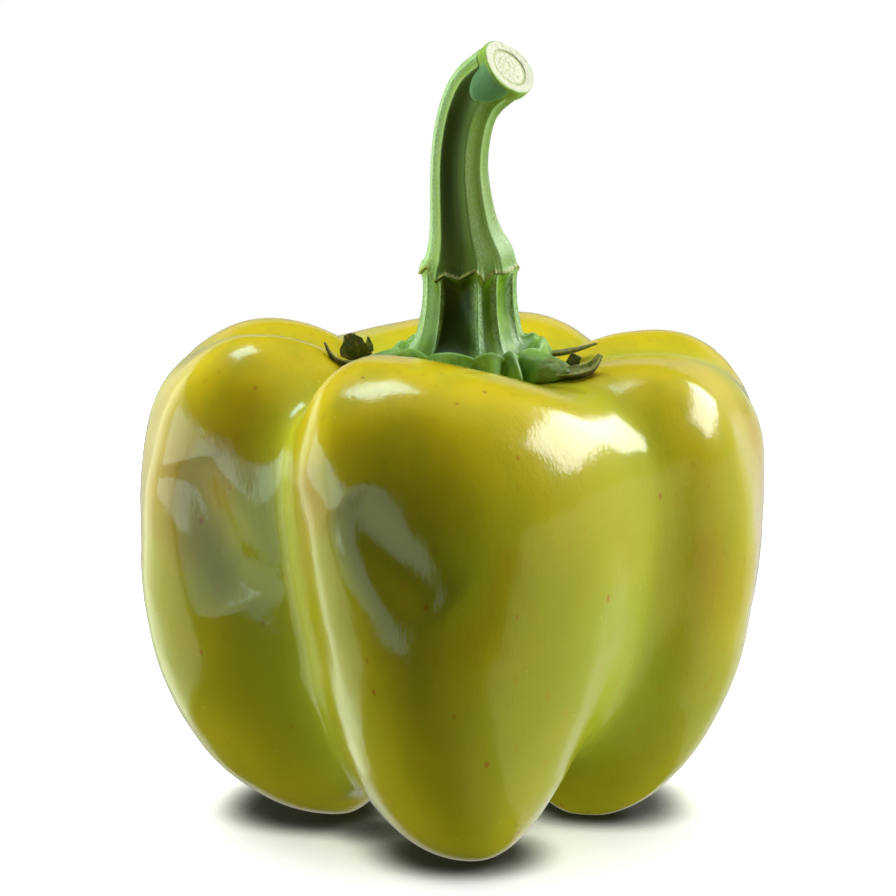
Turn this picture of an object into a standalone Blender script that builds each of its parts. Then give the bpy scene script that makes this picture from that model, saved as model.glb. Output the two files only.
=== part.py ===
"""A bell pepper that stands on the flat spots of its four feet.

The fruit is one solid with four main lobes. On it sit the calyx, with a fluted neck, the ribbed stem
that bends over to its cut end, and the dry tips of the sepals that curl up from the calyx.

The origin is the middle of the whole pepper's box, on the surface that it stands on. +Z is up and
-Y is the front. An azimuth is in degrees from the front, and grows towards +X. Dimensions are in
millimetres, and become metres where a vertex is placed.
"""

import collections
import math

import bmesh
import bpy
from mathutils import Vector

MM = 0.001
GAP = 0.3  # clear space between pieces that touch on a real pepper
FACET = 0.2  # what a facet of the dip may stand above its true surface

# Fruit. Its axis is placed so that the box of the whole pepper is centred on the origin.
FRUIT_AXIS = Vector((-0.4, 1.1, 0.0))
FRUIT_COLUMNS = 78
FRUIT_RINGS = 40
FRUIT_HEIGHT = 72.5
DIP_FLOOR = 63.0  # height of the middle of the dip under the calyx
HOLLOW_ROOF = 12.0  # height of the middle of the hollow between the feet
SHOULDER_POWER = 2.4  # 2 is an ellipse, and more is squarer
FLANK_POWER = 2.0
GROOVE_ROUNDING = 0.25
FOOT_DEPTH = -0.6  # how low a foot would reach if it were not pressed flat where it stands

# How far down its column of vertices, from 0 to 1, each stretch of the skin ends.
CREST_AT = 0.175
BELLY_AT = 0.475
FOOT_AT = 0.825

# The fruit's ridges and the grooves between them, from the front round towards +X. Each has its azimuth
# at the top and at the foot, and the (radius, height) of its crest, its widest place and its foot.
Meridian = collections.namedtuple("Meridian", "ridge top bottom crest belly foot")
MERIDIANS = (
    Meridian(True, -24.5, 6.0, (27.0, 72.5), (48.0, 40.5), (26.0, FOOT_DEPTH)),  # front lobe
    Meridian(False, 48.5, 47.0, (21.5, 66.3), (37.8, 48.5), (19.5, 11.0)),
    Meridian(True, 73.0, 80.5, (28.5, 69.0), (45.5, 42.0), (19.5, FOOT_DEPTH)),  # right lobe, front half
    Meridian(False, 92.0, 99.5, (29.0, 68.4), (46.5, 51.0), (22.5, 1.5)),
    Meridian(True, 108.0, 114.5, (31.0, 70.5), (48.0, 47.0), (22.0, 1.5)),  # right lobe, back half
    Meridian(False, 126.0, 139.5, (25.5, 66.5), (38.5, 42.5), (22.0, 12.0)),
    Meridian(True, 158.5, 179.5, (26.5, 70.5), (46.0, 45.0), (21.0, FOOT_DEPTH)),  # back lobe
    Meridian(False, 224.0, 220.0, (25.0, 68.0), (38.5, 42.5), (22.0, 12.0)),
    Meridian(True, 247.0, 245.0, (28.5, 72.0), (45.5, 46.5), (22.0, 1.5)),  # left lobe, back half
    Meridian(False, 265.5, 263.0, (29.0, 70.3), (45.7, 51.0), (22.0, 1.5)),
    Meridian(True, 284.0, 276.0, (28.5, 72.5), (46.0, 38.5), (16.5, FOOT_DEPTH)),  # left lobe, front half
    Meridian(False, 311.5, 324.0, (23.5, 64.5), (35.0, 50.0), (19.0, 6.5)),
)

# Calyx and stem. The neck's axis is given from the fruit's axis.
NECK_AXIS = Vector((2.7, 0.0, 0.0))
NECK_TOP = 80.8  # the scar where the stem joins the neck
NECK_RADIUS = 7.0
FLUTES = 9
FLUTE_DEPTH = 0.7
FLARE_START = 75.5  # height where the neck starts to widen into the lobes
VALLEY = (9.2, 69.4)  # radius and height of the bottom of the neck
PAD_TOP = (11.0, 70.4)  # radius and height of the rim of the lobes
NOTCH_RADIUS = 11.0
NOTCH_DROP = 0.9  # how much lower the rim is in a notch than on a lobe
CALYX_EDGE = 1.3  # thickness of the calyx at its edge
CALYX_COLUMNS = 72
CALYX_RINGS = 22

# Each lobe of the calyx: the azimuth of the notch before it, and how far it reaches from the neck's axis.
Lobe = collections.namedtuple("Lobe", "start reach")
LOBES = (
    Lobe(-118.0, 14.0),
    Lobe(-88.0, 13.5),
    Lobe(-60.0, 12.0),
    Lobe(-35.0, 12.5),
    Lobe(3.0, 12.5),
    Lobe(30.0, 14.0),
    Lobe(48.0, 18.5),
    Lobe(80.0, 12.5),
    Lobe(112.0, 13.5),
    Lobe(146.0, 13.0),
    Lobe(180.0, 13.5),
    Lobe(212.0, 13.0),
)

# The stem's middle line from the scar to the cut, from the fruit's axis, and its radius along it.
STEM_LINE = (
    (2.6, 0.0, 81.1),
    (2.6, 0.0, 83.0),
    (2.2, 0.0, 85.6),
    (1.8, 0.0, 88.5),
    (1.4, 0.0, 92.5),
    (1.25, 0.0, 96.5),
    (1.6, -0.1, 100.5),
    (2.5, -0.3, 104.4),
    (4.3, -1.2, 108.0),
    (8.3, -3.5, 111.0),
)
STEM_RADII = (7.1, 6.65, 5.5, 4.8, 4.35, 4.1, 4.05, 4.1, 4.3, 4.4)
STEM_RIBS = 5
RIB_HEIGHT = 0.35
STEM_COLUMNS = 30
STEM_RINGS = 36
CAP_SHARE = 0.1  # share of the rings that each flat end takes

# Dry tips of the sepals: the middle line, the widths and the thicknesses along it, and the direction that
# the blade faces.
Tip = collections.namedtuple("Tip", "line widths thicknesses facing")
TIPS = {
    "sepal_left_spike": Tip(
        ((-11.8, -7.2, 69.2), (-14.4, -7.6, 68.7), (-17.0, -7.4, 69.3), (-18.4, -6.8, 71.4)),
        (1.6, 1.7, 1.3, 0.3),
        (0.8, 0.8, 0.7, 0.3),
        (0.3, 0.2, 1.0),
    ),
    "sepal_left_flap": Tip(
        ((-11.9, -0.6, 70.0), (-13.6, -1.0, 70.3), (-15.6, -1.8, 70.6)),
        (2.6, 4.2, 3.6),
        (0.8, 0.8, 0.6),
        (0.5, -0.7, 0.8),
    ),
    "sepal_left_point": Tip(
        ((-11.9, 3.4, 70.3), (-11.9, 3.5, 70.9), (-12.0, 3.7, 71.9)),
        (1.2, 1.0, 0.3),
        (0.6, 0.6, 0.3),
        (0.0, -1.0, 0.3),
    ),
    "sepal_right_spike": Tip(
        ((15.6, 2.0, 69.2), (17.8, 2.4, 69.3), (21.2, 3.0, 69.9)),
        (1.5, 1.6, 0.4),
        (0.7, 0.7, 0.4),
        (0.0, 0.2, 1.0),
    ),
    "sepal_right_flap": Tip(
        ((17.3, -2.4, 68.7), (18.2, -2.7, 69.2), (19.2, -3.0, 69.7)),
        (2.0, 2.0, 1.8),
        (0.6, 0.6, 0.6),
        (0.0, -1.0, 0.6),
    ),
    "sepal_right_keel": Tip(
        ((17.6, -12.2, 68.6), (19.2, -12.0, 69.0), (20.6, -11.7, 69.8), (21.6, -11.4, 70.9)),
        (2.2, 2.2, 1.6, 0.6),
        (1.0, 1.1, 0.9, 0.6),
        (-0.3, -0.4, 1.0),
    ),
}
TIP_COLUMNS = 12
TIP_RINGS = 12


def blend(low, high, share):
    """The value, or tuple of values, that lies share of the way from low to high."""
    if isinstance(low, tuple):
        return tuple(blend(a, b, share) for a, b in zip(low, high))
    return low + (high - low) * share


def outward(azimuth):
    """The level direction of an azimuth."""
    angle = math.radians(azimuth)
    return Vector((math.sin(angle), -math.cos(angle), 0.0))


def azimuth_of(x, y):
    return math.degrees(math.atan2(x, -y))


def through(points, share):
    """A point of the smooth curve through the points, from the first, at 0, to the last, at 1."""
    place = min(max(share, 0.0), 1.0) * (len(points) - 1)
    index = min(int(place), len(points) - 2)
    t = place - index
    before, here, after, beyond = (
        points[min(max(index + step, 0), len(points) - 1)] for step in (-1, 0, 1, 2)
    )

    def one(a, b, c, d):
        return b + 0.5 * t * (c - a + t * (2 * a - 5 * b + 4 * c - d + t * (3 * (b - c) + d - a)))

    if isinstance(here, tuple):
        return tuple(one(*values) for values in zip(before, here, after, beyond))
    return one(before, here, after, beyond)


# Fruit ----------------------------------------------------------------------------------------------


def middle_azimuth(meridian):
    return (meridian.top + meridian.bottom) / 2


def ridge_share(share):
    """0 in a groove and 1 on a ridge, level on the ridge and rounded in the groove."""
    longest = math.hypot(1.0, GROOVE_ROUNDING) - GROOVE_ROUNDING
    return math.sin(math.pi / 2 * (math.hypot(share, GROOVE_ROUNDING) - GROOVE_ROUNDING) / longest)


def meridian_at(azimuth):
    """The fruit's section at an azimuth of its middle, between the two meridians beside it."""
    for here, after in zip(MERIDIANS, MERIDIANS[1:] + MERIDIANS[:1]):
        width = (middle_azimuth(after) - middle_azimuth(here)) % 360
        along = (azimuth - middle_azimuth(here)) % 360
        if along < width:
            break
    share = along / width
    weight = 1 - ridge_share(1 - share) if here.ridge else ridge_share(share)
    top = here.top + ((after.top - here.top) % 360) * share
    bottom = here.bottom + ((after.bottom - here.bottom) % 360) * share
    shapes = (blend(getattr(here, name), getattr(after, name), weight) for name in ("crest", "belly", "foot"))
    return Meridian(None, top, bottom, *shapes)


def twisted(meridian, height):
    """The azimuth of a section at a height: ridges and grooves lean as they go down."""
    return blend(meridian.top, meridian.bottom, 1 - height / FRUIT_HEIGHT)


def dip_height(crest, share):
    """Height of the dip's skin, share of the way from its middle to the crest."""
    return blend(DIP_FLOOR, crest[1], (1 - math.cos(math.pi * share)) / 2)


def fruit_point(azimuth, descent):
    """A point of the skin: descent is 0 in the middle of the dip and 1 in the middle of the hollow."""
    section = meridian_at(azimuth)
    crest, belly, foot = section.crest, section.belly, section.foot
    if descent <= CREST_AT:
        share = descent / CREST_AT
        radius, height = crest[0] * share, dip_height(crest, share)
    elif descent <= BELLY_AT:
        turn = math.pi / 2 * (descent - CREST_AT) / (BELLY_AT - CREST_AT)
        radius = blend(crest[0], belly[0], math.sin(turn) ** (2 / SHOULDER_POWER))
        height = blend(belly[1], crest[1], abs(math.cos(turn)) ** (2 / SHOULDER_POWER))
    elif descent <= FOOT_AT:
        turn = math.pi / 2 * (descent - BELLY_AT) / (FOOT_AT - BELLY_AT)
        radius = blend(foot[0], belly[0], abs(math.cos(turn)) ** (2 / FLANK_POWER))
        height = blend(belly[1], foot[1], math.sin(turn) ** (2 / FLANK_POWER))
    else:
        share = (1 - descent) / (1 - FOOT_AT)
        radius = foot[0] * share
        height = blend(HOLLOW_ROOF, foot[1], (1 - math.cos(math.pi * share)) / 2)
    place = outward(twisted(section, height)) * radius
    return Vector((place.x, place.y, max(height, 0.0)))


def fruit_height(x, y):
    """Height of the skin on top of the fruit at a place given from its axis."""
    wanted = azimuth_of(x, y)
    radius = math.hypot(x, y)
    azimuth = wanted
    for _ in range(6):
        section = meridian_at(azimuth)
        azimuth += (wanted - twisted(section, section.crest[1]) + 180) % 360 - 180
    crest, belly = section.crest, section.belly
    if radius <= crest[0]:
        return dip_height(crest, radius / crest[0])
    turn = math.asin(min((radius - crest[0]) / (belly[0] - crest[0]), 1.0) ** (SHOULDER_POWER / 2))
    return blend(belly[1], crest[1], math.cos(turn) ** (2 / SHOULDER_POWER))


# Calyx ----------------------------------------------------------------------------------------------


def lobe_at(azimuth):
    """How far the calyx reaches at an azimuth, and how much of a lobe it is: 0 in a notch, 1 mid-lobe."""
    for here, after in zip(LOBES, LOBES[1:] + LOBES[:1]):
        width = (after.start - here.start) % 360
        along = (azimuth - here.start) % 360
        if along < width:
            break
    hump = math.sin(math.pi * along / width) ** 0.7
    return blend(NOTCH_RADIUS, here.reach, hump), hump


def calyx_section(azimuth):
    """The (radius, height) points of the calyx's section, from the middle of its top to its edge."""
    flute = 0.5 + 0.5 * math.cos(math.radians(azimuth) * FLUTES)
    neck = NECK_RADIUS - FLUTE_DEPTH * flute
    reach, hump = lobe_at(azimuth)
    rim = PAD_TOP[1] - NOTCH_DROP * (1 - hump)
    edge = NECK_AXIS + outward(azimuth) * reach
    skin = fruit_height(edge.x, edge.y)
    return (
        (0.0, NECK_TOP),
        (neck * 0.5, NECK_TOP),
        (neck - 0.3, NECK_TOP),
        (neck, NECK_TOP - 0.3),
        (neck, (NECK_TOP + FLARE_START) / 2),
        (neck + 0.2, FLARE_START),
        (blend(neck, VALLEY[0], 0.45), blend(FLARE_START, VALLEY[1], 0.65)),
        VALLEY,
        (blend(VALLEY[0], PAD_TOP[0], 0.5), blend(VALLEY[1], rim, 0.6)),
        (PAD_TOP[0], rim),
        (blend(PAD_TOP[0], reach, 0.6), blend(rim, skin + CALYX_EDGE + GAP, 0.45)),
        (reach, max(skin + CALYX_EDGE + GAP, skin + GAP + 0.6)),
    )


def calyx_point(azimuth, descent):
    """A point of the calyx, from the middle of its top, at 0, to the middle of its underside, at 1."""
    under_from = 0.78
    section = calyx_section(azimuth)
    if descent <= under_from:
        share = descent / under_from
        radius, height = section[0] if share == 0 else through(section, share)
        return outward(azimuth) * radius + Vector((0.0, 0.0, height))
    radius = section[-1][0] * (1 - descent) / (1 - under_from) * 0.98
    place = NECK_AXIS + outward(azimuth) * radius
    lift = GAP + FACET
    return outward(azimuth) * radius + Vector((0.0, 0.0, fruit_height(place.x, place.y) + lift))


# Stem and sepal tips --------------------------------------------------------------------------------


def frame_along(line, share, facing):
    """A point on a line, with the directions across it and out of its face there."""
    step = 0.01
    along = Vector(through(line, share + step)) - Vector(through(line, share - step))
    along.normalize()
    across = along.cross(facing).normalized()
    return Vector(through(line, share)), across, across.cross(along)


def swept_shares(descent):
    """How far along a sweep a ring is, and how much of its full width it has on a flat end."""
    if descent < CAP_SHARE:
        return 0.0, descent / CAP_SHARE
    if descent > 1 - CAP_SHARE:
        return 1.0, (1 - descent) / CAP_SHARE
    return (descent - CAP_SHARE) / (1 - 2 * CAP_SHARE), 1.0


def stem_point(azimuth, descent):
    """A point of the stem, from the middle of the cut end, at 0, to the middle of the scar, at 1."""
    share, width = swept_shares(1 - descent)
    middle, across, out = frame_along(STEM_LINE, share, Vector((0.0, -1.0, 0.0)))
    rib = RIB_HEIGHT * math.cos(math.radians(azimuth) * STEM_RIBS) * math.sin(math.pi * share) ** 0.5
    radius = (through(STEM_RADII, share) + rib) * width
    angle = math.radians(azimuth)
    return middle + (across * math.sin(angle) + out * math.cos(angle)) * radius


def tip_point(tip, azimuth, descent):
    """A point of a sepal's tip, from its base, at 0, to its end, at 1."""
    share, width = swept_shares(descent)
    middle, across, out = frame_along(tip.line, share, Vector(tip.facing))
    angle = math.radians(azimuth)
    half_width = through(tip.widths, share) / 2 * width
    half_thickness = through(tip.thicknesses, share) / 2 * width
    return middle + across * (math.sin(angle) * half_width) + out * (math.cos(angle) * half_thickness)


# Objects --------------------------------------------------------------------------------------------


def material(name, colour, roughness):
    made = bpy.data.materials.new(name)
    made.use_nodes = True
    shader = made.node_tree.nodes["Principled BSDF"]
    shader.inputs["Base Color"].default_value = (*colour, 1.0)
    shader.inputs["Roughness"].default_value = roughness
    shader.inputs["Metallic"].default_value = 0.0
    return made


def ball(name, columns, rings, place, origin, look, parent):
    """One closed body: a sphere whose vertices are moved to place(azimuth, descent), seen from origin."""
    shape = bmesh.new()
    bmesh.ops.create_uvsphere(shape, u_segments=columns, v_segments=rings, radius=1.0)
    for vertex in shape.verts:
        azimuth = azimuth_of(vertex.co.x, vertex.co.y)
        descent = round(math.acos(min(max(vertex.co.z, -1.0), 1.0)) / math.pi * rings) / rings
        vertex.co = (place(azimuth, descent) - origin) * MM
    bmesh.ops.triangulate(shape, faces=shape.faces[:])
    bmesh.ops.recalc_face_normals(shape, faces=shape.faces[:])
    mesh = bpy.data.meshes.new(name)
    shape.to_mesh(mesh)
    shape.free()
    mesh.shade_smooth()
    mesh.materials.append(look)
    made = bpy.data.objects.new(name, mesh)
    bpy.data.collections[parent.name].objects.link(made)
    made.parent = parent
    made.location = origin * MM
    return made


def clear_scene():
    for old in list(bpy.data.objects):
        bpy.data.objects.remove(old, do_unlink=True)


def main():
    clear_scene()
    collection = bpy.data.collections.new("bell_pepper")
    bpy.context.scene.collection.children.link(collection)
    pepper = bpy.data.objects.new("bell_pepper", None)
    pepper.location = FRUIT_AXIS * MM
    collection.objects.link(pepper)

    skin = material("fruit_skin", (0.32, 0.28, 0.01), 0.25)
    calyx_green = material("calyx_green", (0.09, 0.22, 0.02), 0.45)
    stem_green = material("stem_green", (0.17, 0.33, 0.07), 0.45)
    dry_sepal = material("dry_sepal", (0.04, 0.05, 0.01), 0.7)

    middle = Vector((0.0, 0.0, 0.0))
    ball("fruit", FRUIT_COLUMNS, FRUIT_RINGS, fruit_point, middle, skin, pepper)
    ball("calyx", CALYX_COLUMNS, CALYX_RINGS, lambda a, d: calyx_point(a, d) + NECK_AXIS, NECK_AXIS,
         calyx_green, pepper)
    ball("stem", STEM_COLUMNS, STEM_RINGS, stem_point, Vector(STEM_LINE[0]), stem_green, pepper)
    for name, tip in TIPS.items():
        ball(name, TIP_COLUMNS, TIP_RINGS, lambda a, d, tip=tip: tip_point(tip, a, d), Vector(tip.line[0]),
             dry_sepal, pepper)


main()
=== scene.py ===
"""Looks of the bell pepper: the fine meshes and the materials that stand for the plain CAD solids.

The shapes follow the same rules as the CAD solids, with finer vertices and the detail that shows close
up: the zigzag scar under the stem, the cut end, the torn sepals and the small dents of the skin.
Shapes are worked out in millimetres from the fruit's axis. An azimuth is in degrees from the front
(-Y), and grows towards +X.
"""

import collections
import functools
import math

import bpy
import numpy as np
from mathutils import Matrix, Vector, noise


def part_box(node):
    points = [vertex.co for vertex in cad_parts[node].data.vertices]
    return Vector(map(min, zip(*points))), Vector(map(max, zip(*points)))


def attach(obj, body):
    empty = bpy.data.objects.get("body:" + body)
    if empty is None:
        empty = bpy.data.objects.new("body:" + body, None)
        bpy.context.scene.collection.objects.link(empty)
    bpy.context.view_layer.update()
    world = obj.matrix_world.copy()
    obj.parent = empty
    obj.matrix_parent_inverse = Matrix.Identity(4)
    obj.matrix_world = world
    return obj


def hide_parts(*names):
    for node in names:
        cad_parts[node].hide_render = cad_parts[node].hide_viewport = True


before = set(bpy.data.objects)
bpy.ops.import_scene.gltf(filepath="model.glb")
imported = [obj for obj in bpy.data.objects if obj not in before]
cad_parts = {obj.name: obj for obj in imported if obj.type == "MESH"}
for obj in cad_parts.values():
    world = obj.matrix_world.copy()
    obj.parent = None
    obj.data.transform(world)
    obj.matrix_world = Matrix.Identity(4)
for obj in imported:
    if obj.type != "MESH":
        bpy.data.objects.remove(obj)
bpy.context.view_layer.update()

MM = 0.001

# Fruit, as in the CAD model.
FRUIT_COLUMNS = 420
FRUIT_RINGS = 260
FRUIT_HEIGHT = 72.5
DIP_FLOOR = 63.0
HOLLOW_ROOF = 12.0
SHOULDER_POWER = 2.4
FLANK_POWER = 2.0
GROOVE_ROUNDING = 0.25
FOOT_DEPTH = -0.6
CREST_AT = 0.175
BELLY_AT = 0.475
FOOT_AT = 0.825

Meridian = collections.namedtuple("Meridian", "ridge top bottom crest belly foot")
MERIDIANS = (
    Meridian(True, -24.5, 6.0, (27.0, 72.5), (48.0, 40.5), (26.0, FOOT_DEPTH)),  # front lobe
    Meridian(False, 48.5, 47.0, (21.5, 66.3), (37.8, 48.5), (19.5, 11.0)),
    Meridian(True, 73.0, 80.5, (28.5, 69.0), (45.5, 42.0), (19.5, FOOT_DEPTH)),  # right lobe, front half
    Meridian(False, 92.0, 99.5, (29.0, 68.4), (46.5, 51.0), (22.5, 1.5)),
    Meridian(True, 108.0, 114.5, (31.0, 70.5), (48.0, 47.0), (22.0, 1.5)),  # right lobe, back half
    Meridian(False, 126.0, 139.5, (25.5, 66.5), (38.5, 42.5), (22.0, 12.0)),
    Meridian(True, 158.5, 179.5, (26.5, 70.5), (46.0, 45.0), (21.0, FOOT_DEPTH)),  # back lobe
    Meridian(False, 224.0, 220.0, (25.0, 68.0), (38.5, 42.5), (22.0, 12.0)),
    Meridian(True, 247.0, 245.0, (28.5, 72.0), (45.5, 46.5), (22.0, 1.5)),  # left lobe, back half
    Meridian(False, 265.5, 263.0, (29.0, 70.3), (45.7, 51.0), (22.0, 1.5)),
    Meridian(True, 284.0, 276.0, (28.5, 72.5), (46.0, 38.5), (16.5, FOOT_DEPTH)),  # left lobe, front half
    Meridian(False, 311.5, 324.0, (23.5, 64.5), (35.0, 50.0), (19.0, 6.5)),
)

# Calyx and stem.
NECK_AXIS = Vector((2.7, 0.0, 0.0))
NECK_RADIUS = 7.0
FLARE_START = 75.5
VALLEY = (9.2, 69.4)
PAD_TOP = (11.0, 70.4)
NOTCH_RADIUS = 11.0
NOTCH_DROP = 0.9
CALYX_EDGE = 1.3
CALYX_COLUMNS = 480
CALYX_RINGS = 200
CALYX_UNDER_FROM = 0.86
CALYX_ROUGH = 0.06
CRUST_ROUGH = 0.35
CRUST_FROM = 13.5
CRUST_SPAN = 2.0
ARM_AZIMUTH = 51.0
ARM_HALF = 20.0

Lobe = collections.namedtuple("Lobe", "start reach")
LOBES = (
    Lobe(-122.0, 13.0),
    Lobe(-98.0, 15.5),
    Lobe(-66.0, 12.0),
    Lobe(-35.0, 12.5),
    Lobe(3.0, 12.5),
    Lobe(26.0, 14.0),
    Lobe(38.0, 18.5),
    Lobe(64.0, 12.5),
    Lobe(88.0, 13.0),
    Lobe(112.0, 13.5),
    Lobe(146.0, 13.0),
    Lobe(180.0, 13.5),
    Lobe(212.0, 13.0),
)

# The ribs of the neck and of the stem, by azimuth, and how deep the flute after each is cut.
Rib = collections.namedtuple("Rib", "azimuth depth")
RIBS = (
    Rib(-94.0, 0.7),
    Rib(-64.0, 0.45),
    Rib(-38.0, 2.3),
    Rib(9.0, 1.0),
    Rib(34.0, 1.0),
    Rib(63.0, 0.7),
    Rib(92.0, 0.9),
    Rib(124.0, 1.0),
    Rib(158.0, 0.9),
    Rib(190.0, 1.1),
    Rib(226.0, 0.8),
)
STEM_RIBS = (
    Rib(-98.0, 0.25),
    Rib(-66.0, 0.25),
    Rib(-42.0, 0.8),
    Rib(8.0, 0.3),
    Rib(42.0, 0.3),
    Rib(70.0, 0.3),
    Rib(110.0, 0.4),
    Rib(150.0, 0.4),
    Rib(190.0, 0.4),
    Rib(228.0, 0.3),
)

# How round the flutes are: the lower, the steeper their sides.
NECK_SHAPE = 0.5
STEM_SHAPE = 0.9

# The scar where the stem joins the neck, a zigzag given by its corners: (azimuth, height).
SCAR = (
    (-90.0, 80.2),
    (-60.0, 81.9),
    (-45.0, 79.9),
    (-30.0, 81.1),
    (-12.5, 80.5),
    (6.0, 81.8),
    (17.6, 80.3),
    (28.6, 81.5),
    (46.7, 81.2),
    (76.0, 82.0),
    (104.0, 80.6),
    (136.0, 81.7),
    (170.0, 80.4),
    (202.0, 81.6),
    (236.0, 80.5),
    (254.0, 81.4),
)
SCAR_LEVEL = 81.1
SCAR_BLEND = 3.0
SCAR_LIP = 0.25

STEM_LINE = (
    (2.6, 0.0, 81.1),
    (2.6, 0.0, 83.0),
    (2.2, 0.0, 85.6),
    (1.8, 0.0, 88.5),
    (1.4, 0.0, 92.5),
    (1.25, 0.0, 96.5),
    (1.6, -0.1, 100.5),
    (2.5, -0.3, 104.4),
    (4.1, -1.1, 107.4),
    (6.8, -2.7, 109.9),
)
STEM_RADII = (7.1, 6.65, 5.5, 4.8, 4.35, 4.1, 4.05, 4.1, 4.3, 4.3)
STEM_COLUMNS = 240
STEM_RINGS = 300
CAP_SHARE = 0.1

# The stem's cut end, with the shield-shaped scar of a leaf on one side.
STUB_FACE = Vector((8.45, -3.6, 111.1))
STUB_AXIS = Vector((0.63, -0.47, 0.61)).normalized()
STUB_RADIUS = 4.6
STUB_LENGTH = 2.5
SHIELD_LENGTH = 3.2
SHIELD_AZIMUTH = 74.0
SHIELD_HALF = 38.0
STUB_COLUMNS = 160
STUB_RINGS = 90
STUB_UNEVEN = 0.12
SHIELD_SWELL = 0.4

Tip = collections.namedtuple("Tip", "line widths thicknesses facing")
TIPS = {
    "sepal_left_spike": Tip(
        ((-11.8, -7.2, 69.0), (-14.4, -7.6, 68.4), (-17.0, -7.4, 69.1), (-18.4, -6.8, 71.4)),
        (1.6, 2.0, 1.7, 0.35),
        (0.9, 1.0, 0.8, 0.3),
        (0.3, 0.2, 1.0),
    ),
    "sepal_left_flap": Tip(
        ((-14.1, -1.2, 67.8), (-14.5, -1.9, 69.7), (-14.9, -1.7, 71.8)),
        (5.4, 4.4, 1.6),
        (0.8, 0.8, 0.6),
        (0.3, -1.0, 0.3),
    ),
    "sepal_left_point": Tip(
        ((-12.1, 3.0, 68.4), (-12.1, 3.1, 69.3), (-12.3, 3.2, 70.6)),
        (1.3, 1.1, 0.3),
        (0.6, 0.6, 0.3),
        (0.0, -1.0, 0.3),
    ),
    "sepal_right_spike": Tip(
        ((12.9, 1.0, 68.3), (17.0, 2.3, 68.5), (21.4, 3.0, 69.6)),
        (1.7, 1.7, 0.3),
        (1.0, 1.05, 0.3),
        (0.0, 0.2, 1.0),
    ),
    "sepal_right_flap": Tip(
        ((17.2, -9.0, 67.9), (17.6, -9.1, 68.9), (18.1, -9.2, 70.0)),
        (1.8, 1.9, 1.7),
        (0.6, 0.6, 0.6),
        (0.0, -1.0, 0.4),
    ),
    "sepal_right_keel": Tip(
        ((14.8, -10.8, 67.6), (17.6, -12.0, 67.3), (20.2, -12.0, 68.2), (21.6, -11.6, 70.3)),
        (1.8, 2.6, 2.0, 0.9),
        (1.0, 1.1, 0.9, 0.7),
        (-0.3, -0.4, 1.0),
    ),
}
TIP_COLUMNS = 96
TIP_RINGS = 100

# How each sepal's tip has dried: how thin and how cupped it is, and how rippled and torn its edge.
Drying = collections.namedtuple("Drying", "thinness cup ripple torn")
DRYING = {
    "sepal_left_spike": Drying(0.9, 0.3, 0.1, 0.1),
    "sepal_left_flap": Drying(0.7, 0.35, 0.35, 0.22),
    "sepal_left_point": Drying(0.9, 0.1, 0.1, 0.1),
    "sepal_right_spike": Drying(0.9, 0.1, 0.06, 0.1),
    "sepal_right_flap": Drying(0.7, 0.2, 0.1, 0.08),
    "sepal_right_keel": Drying(0.8, 0.8, 0.15, 0.1),
}

# How pale the waxy coating with its painted highlight is and how deep the painted shade in the flutes is,
# by azimuth, on the neck and on the stem.
Tone = collections.namedtuple("Tone", "azimuth bloom dark")
NECK_TONES = (
    Tone(-110.0, 0.6, 0.2),
    Tone(-76.0, 0.95, 0.0),
    Tone(-64.0, 0.3, 0.15),
    Tone(-48.0, 0.0, 0.45),
    Tone(-41.0, 0.1, 0.4),
    Tone(-38.5, 0.9, 0.1),
    Tone(-36.0, 0.0, 1.0),
    Tone(-2.0, 0.0, 0.85),
    Tone(5.0, 0.3, 0.3),
    Tone(8.0, 0.95, 0.0),
    Tone(14.0, 0.8, 0.0),
    Tone(17.0, 0.0, 0.6),
    Tone(26.0, 0.0, 0.35),
    Tone(31.0, 0.8, 0.0),
    Tone(37.0, 0.6, 0.0),
    Tone(42.0, 0.0, 0.1),
    Tone(54.0, 0.0, 0.0),
    Tone(58.0, 0.95, 0.0),
    Tone(72.0, 0.85, 0.0),
    Tone(78.0, 0.0, 0.1),
    Tone(88.0, 0.9, 0.0),
    Tone(96.0, 0.2, 0.1),
    Tone(124.0, 0.8, 0.0),
    Tone(140.0, 0.0, 0.4),
    Tone(158.0, 0.8, 0.0),
    Tone(174.0, 0.0, 0.4),
    Tone(190.0, 0.8, 0.0),
    Tone(208.0, 0.0, 0.5),
    Tone(226.0, 0.8, 0.0),
)
STEM_TONES = (
    Tone(-120.0, 0.4, 0.0),
    Tone(-88.0, 0.9, 0.0),
    Tone(-66.0, 0.8, 0.0),
    Tone(-56.0, 0.15, 0.1),
    Tone(-44.0, 0.25, 0.15),
    Tone(-38.0, 0.0, 0.85),
    Tone(-28.0, 0.0, 1.0),
    Tone(-8.0, 0.0, 1.0),
    Tone(4.0, 0.0, 0.5),
    Tone(12.0, 0.4, 0.0),
    Tone(24.0, 0.3, 0.0),
    Tone(34.0, 0.05, 0.1),
    Tone(46.0, 0.5, 0.0),
    Tone(60.0, 0.25, 0.0),
    Tone(76.0, 0.8, 0.0),
    Tone(110.0, 0.5, 0.0),
    Tone(150.0, 0.2, 0.1),
    Tone(190.0, 0.6, 0.0),
    Tone(220.0, 0.2, 0.1),
)

# Where the arm to the right leaves the neck, the valley between neck and lobes is filled in.
RAMP_AZIMUTH = 84.0
RAMP_HALF = 36.0
RAMP_RISE = 2.7

# To the left the lobes lie lower.
LOW_AZIMUTH = -96.0
LOW_HALF = 50.0
LOW_DROP = 0.8


def blend(low, high, share):
    """The value, or tuple of values, that lies share of the way from low to high."""
    if isinstance(low, tuple):
        return tuple(blend(a, b, share) for a, b in zip(low, high))
    return low + (high - low) * share


def outward(azimuth):
    """The level direction of an azimuth."""
    angle = math.radians(azimuth)
    return Vector((math.sin(angle), -math.cos(angle), 0.0))


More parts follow.
